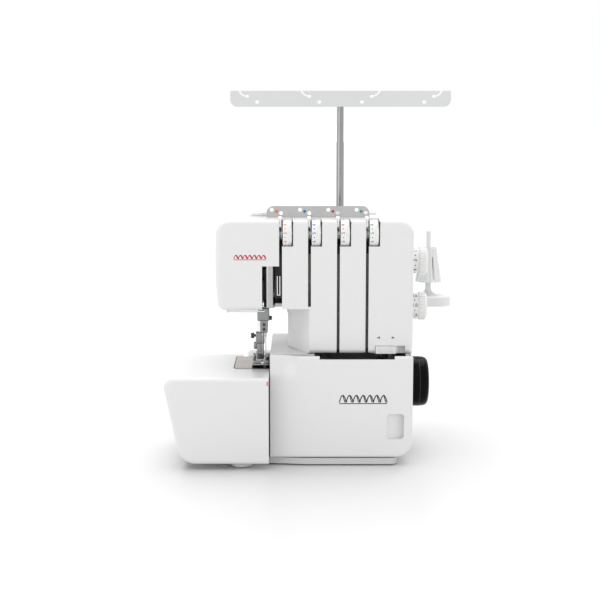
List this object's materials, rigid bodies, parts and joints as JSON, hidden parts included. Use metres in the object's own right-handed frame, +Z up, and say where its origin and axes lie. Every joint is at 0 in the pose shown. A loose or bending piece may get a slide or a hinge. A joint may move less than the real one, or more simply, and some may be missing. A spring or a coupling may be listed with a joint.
{
  "type": "serger overlock machine",
  "caption": "Table-top overlock sewing machine with tension dials in slots, hinged covers, side dials, a handwheel and a thread stand with a raised guide bar.",
  "frame": {"origin": "centre of the bounding box's footprint, on the table under the feet", "axes": "+X to the operator's right, towards the handwheel; +Y away from the operator; +Z up"},
  "size_m": [0.368, 0.25, 0.4578],
  "materials": {
    "white_shell": "smooth gloss",
    "pale_grey": "satin",
    "dial_white": "satin",
    "black_gloss": "gloss",
    "dark_plastic": "matte",
    "chrome": "polished",
    "steel": "brushed",
    "cast_frame": "cast",
    "rubber": "matte",
    "pale_rubber": "matte",
    "lens": "frosted"
  },
  "bodies": {
    "machine": {"base_housing": "white_shell", "base_pan": "pale_grey", "body_screws": "steel", "drive_belt": "rubber", "face_thread_guides": "chrome", "front_housing": "white_shell", "lamp_lens": "lens", "lower_knife": "steel", "machine_frame": "cast_frame", "motor": "cast_frame", "needle_bar_guard": "chrome", "needle_plate": "steel", "pole_lower": "chrome", "power_inlet": "dark_plastic", "rear_housing": "white_shell", "rubber_feet": "pale_rubber", "shaft_bushes": "steel", "side_cover_pin": "steel", "slot_thread_guides": "dial_white", "spool_pins": "chrome", "spool_stand": "pale_grey", "tension_plate": "steel", "tension_units": "steel", "top_thread_guide": "chrome"},
    "side_cover": {"side_cover": "white_shell"},
    "looper_cover_carrier": {"cover_hinge_rod": "steel"},
    "looper_cover": {"looper_cover": "white_shell"},
    "needle_bar": {"needle_bar": "chrome", "needle_clamp": "steel", "needles": "steel", "needle_screws": "steel"},
    "presser_bar": {"presser_bar": "chrome", "foot_ankle": "steel", "ankle_screw": "steel"},
    "presser_foot": {"presser_foot": "steel"},
    "presser_lifter": {"presser_lifter": "dark_plastic"},
    "pressure_dial": {"pressure_dial": "dial_white"},
    "upper_knife": {"upper_knife": "steel"},
    "feed_dogs": {"feed_dogs": "steel"},
    "upper_looper": {"upper_looper": "steel"},
    "lower_looper": {"lower_looper": "steel"},
    "handwheel": {"handwheel": "black_gloss", "main_shaft": "steel", "drive_pulley": "dark_plastic"},
    "motor_rotor": {"motor_pulley": "dark_plastic"},
    "tension_dial_1": {"tension_dial_1": "dial_white"},
    "tension_dial_2": {"tension_dial_2": "dial_white"},
    "tension_dial_3": {"tension_dial_3": "dial_white"},
    "tension_dial_4": {"tension_dial_4": "dial_white"},
    "stitch_length_dial": {"stitch_length_dial": "dial_white"},
    "differential_feed_dial": {"differential_feed_dial": "dial_white"},
    "hem_slide": {"hem_slide": "dial_white"},
    "power_switch": {"power_switch": "dark_plastic"},
    "cone_holder_1": {"cone_holder_1": "pale_grey"},
    "cone_holder_2": {"cone_holder_2": "pale_grey"},
    "cone_holder_3": {"cone_holder_3": "pale_grey"},
    "cone_holder_4": {"cone_holder_4": "pale_grey"},
    "pole_upper": {"pole_upper": "chrome"},
    "guide_bar": {"guide_bar": "pale_grey", "guide_bar_holder": "pale_grey"}
  },
  "joints": [
    {"name": "handwheel_spin", "type": "hinge", "parent": "machine", "child": "handwheel", "pos_m": [0.125, -0.015, 0.087], "axis": [1, 0, 0], "continuous": true},
    {"name": "motor_spin", "type": "hinge", "parent": "machine", "child": "motor_rotor", "pos_m": [0.084, 0.028, 0.047], "axis": [1, 0, 0], "continuous": true},
    {"name": "needle_bar_slide", "type": "slide", "parent": "machine", "child": "needle_bar", "axis": [0, 0, -1], "range_m": [0, 0.027]},
    {"name": "upper_knife_slide", "type": "slide", "parent": "machine", "child": "upper_knife", "axis": [0, 0, -1], "range_m": [0, 0.006]},
    {"name": "feed_slide", "type": "slide", "parent": "machine", "child": "feed_dogs", "axis": [0, 1, 0], "range_m": [0, 0.003]},
    {"name": "lower_looper_swing", "type": "hinge", "parent": "machine", "child": "lower_looper", "pos_m": [-0.01, -0.068, 0.06], "axis": [0, 1, 0], "range_deg": [0, 19]},
    {"name": "upper_looper_swing", "type": "hinge", "parent": "machine", "child": "upper_looper", "pos_m": [0.02, -0.077, 0.084], "axis": [0, 1, 0], "range_deg": [0, 13.5]},
    {"name": "presser_lifter_swing", "type": "hinge", "parent": "machine", "child": "presser_lifter", "pos_m": [-0.0705, 0.02, 0.236], "axis": [0, 1, 0], "range_deg": [0, 60]},
    {"name": "presser_bar_lift", "type": "slide", "parent": "machine", "child": "presser_bar", "axis": [0, 0, 1], "range_m": [0, 0.0055]},
    {"name": "presser_foot_tilt", "type": "hinge", "parent": "presser_bar", "child": "presser_foot", "pos_m": [-0.0705, -0.023, 0.12105], "axis": [-1, 0, 0], "range_deg": [0, 9]},
    {"name": "side_cover_swing", "type": "hinge", "parent": "machine", "child": "side_cover", "pos_m": [-0.1, 0.024, 0.06], "axis": [0, 0, -1], "range_deg": [0, 80]},
    {"name": "looper_cover_slide", "type": "slide", "parent": "machine", "child": "looper_cover_carrier", "axis": [1, 0, 0], "range_m": [0, 0.006]},
    {"name": "looper_cover_open", "type": "hinge", "parent": "looper_cover_carrier", "child": "looper_cover", "pos_m": [0, -0.099, 0.0165], "axis": [1, 0, 0], "range_deg": [0, 75]},
    {"name": "tension_dial_1_turn", "type": "hinge", "parent": "machine", "child": "tension_dial_1", "pos_m": [-0.0354, -0.0755, 0.2822], "axis": [1, 0, 0], "range_deg": [-150, 150]},
    {"name": "tension_dial_2_turn", "type": "hinge", "parent": "machine", "child": "tension_dial_2", "pos_m": [-0.0004, -0.0755, 0.2822], "axis": [1, 0, 0], "range_deg": [-150, 150]},
    {"name": "tension_dial_3_turn", "type": "hinge", "parent": "machine", "child": "tension_dial_3", "pos_m": [0.0346, -0.0755, 0.2822], "axis": [1, 0, 0], "range_deg": [-150, 150]},
    {"name": "tension_dial_4_turn", "type": "hinge", "parent": "machine", "child": "tension_dial_4", "pos_m": [0.0696, -0.0755, 0.2822], "axis": [1, 0, 0], "range_deg": [-150, 150]},
    {"name": "stitch_length_turn", "type": "hinge", "parent": "machine", "child": "stitch_length_dial", "pos_m": [0.125, -0.036, 0.245], "axis": [1, 0, 0], "range_deg": [-120, 120]},
    {"name": "differential_feed_turn", "type": "hinge", "parent": "machine", "child": "differential_feed_dial", "pos_m": [0.125, -0.036, 0.188], "axis": [1, 0, 0], "range_deg": [-60, 150]},
    {"name": "hem_slide_move", "type": "slide", "parent": "machine", "child": "hem_slide", "axis": [1, 0, 0], "range_m": [0, 0.011]},
    {"name": "pressure_dial_turn", "type": "hinge", "parent": "machine", "child": "pressure_dial", "pos_m": [-0.0705, -0.025, 0.302], "axis": [0, 0, 1], "range_deg": [-180, 180]},
    {"name": "power_switch_rock", "type": "hinge", "parent": "machine", "child": "power_switch", "pos_m": [0.112, 0.037, 0.0625], "axis": [0, 1, 0], "range_deg": [-6, 6]},
    {"name": "cone_holder_1_lift", "type": "slide", "parent": "machine", "child": "cone_holder_1", "axis": [0, 0, 1], "range_m": [0, 0.06]},
    {"name": "cone_holder_2_lift", "type": "slide", "parent": "machine", "child": "cone_holder_2", "axis": [0, 0, 1], "range_m": [0, 0.06]},
    {"name": "cone_holder_3_lift", "type": "slide", "parent": "machine", "child": "cone_holder_3", "axis": [0, 0, 1], "range_m": [0, 0.06]},
    {"name": "cone_holder_4_lift", "type": "slide", "parent": "machine", "child": "cone_holder_4", "axis": [0, 0, 1], "range_m": [0, 0.06]},
    {"name": "pole_extend", "type": "slide", "parent": "machine", "child": "pole_upper", "axis": [0, 0, -1], "range_m": [0, 0.047]},
    {"name": "guide_bar_swivel", "type": "hinge", "parent": "pole_upper", "child": "guide_bar", "pos_m": [0.034, 0.095, 0.445], "axis": [0, 0, 1], "range_deg": [-90, 90]}
  ],
  "couplings": [
    {"joint": "motor_spin", "follows": "handwheel_spin", "ratio": 3.5},
    {"joint": "upper_knife_slide", "follows": "needle_bar_slide", "ratio": 0.22},
    {"joint": "feed_slide", "follows": "needle_bar_slide", "ratio": 0.11},
    {"joint": "lower_looper_swing", "follows": "needle_bar_slide", "rad_per_m": 12},
    {"joint": "upper_looper_swing", "follows": "needle_bar_slide", "rad_per_m": 8.5},
    {"joint": "presser_bar_lift", "follows": "presser_lifter_swing", "m_per_rad": 0.0052}
  ]
}
